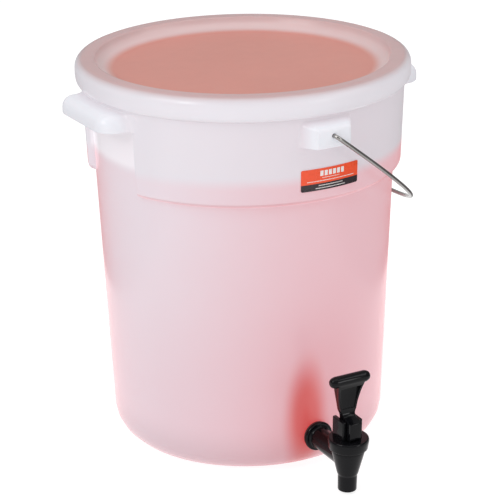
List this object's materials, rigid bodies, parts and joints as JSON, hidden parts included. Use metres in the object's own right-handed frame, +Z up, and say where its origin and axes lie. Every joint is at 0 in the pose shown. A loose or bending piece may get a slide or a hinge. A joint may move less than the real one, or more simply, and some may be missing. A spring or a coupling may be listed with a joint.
{
  "type": "plastic fermenting bucket",
  "caption": "Tall translucent plastic pail with a raised snap lid, wire bail, two moulded side grips and a lever dispensing tap low on the wall.",
  "frame": {"origin": "centre of the pail's flat underside", "axes": "+Z up through the lid; the tap points along -Y; the grips are on +X and -X; the bail turns about an axis along Y"},
  "size_m": [0.358, 0.3966, 0.394],
  "materials": {
    "milky_plastic": "satin, translucent polyethylene",
    "lid_plastic": "satin, translucent polyethylene",
    "black_plastic": "glossy moulded",
    "black_rubber": "soft satin",
    "silicone": "soft, milky",
    "steel": "bright drawn wire",
    "label_film": "printed film, satin"
  },
  "bodies": {
    "bucket": {"pail": "milky_plastic", "label": "label_film", "tap_body": "black_plastic", "outer_washer": "black_rubber", "inner_washer": "black_rubber", "lock_nut": "black_plastic", "bonnet": "black_plastic", "stem_spring": "steel"},
    "lid": {"lid": "lid_plastic", "lid_seal": "silicone"},
    "bail": {"bail": "steel"},
    "tap_stem": {"stem": "black_plastic", "seat_cup": "silicone"},
    "tap_lever": {"lever": "black_plastic", "lever_pin": "steel"}
  },
  "joints": [
    {"name": "lid_lift", "type": "slide", "parent": "bucket", "child": "lid", "axis": [0, 0, 1], "range_m": [0, 0.12]},
    {"name": "bail_swing", "type": "hinge", "parent": "bucket", "child": "bail", "pos_m": [0, 0, 0.3535], "axis": [0, -1, 0], "range_deg": [0, 256]},
    {"name": "stem_lift", "type": "slide", "parent": "bucket", "child": "tap_stem", "axis": [0, -0.0433, 0.9991], "range_m": [0, 0.0035], "deforming": ["stem_spring"]},
    {"name": "lever_tilt", "type": "hinge", "parent": "tap_stem", "child": "tap_lever", "pos_m": [0, -0.19791, 0.06921], "axis": [1, 0, 0], "range_deg": [0, 28], "stiffness_Nm_per_rad": 0.0735, "springref_deg": -32.66}
  ],
  "couplings": [
    {"joint": "stem_lift", "follows": "lever_tilt", "m_per_rad": 0.007}
  ]
}
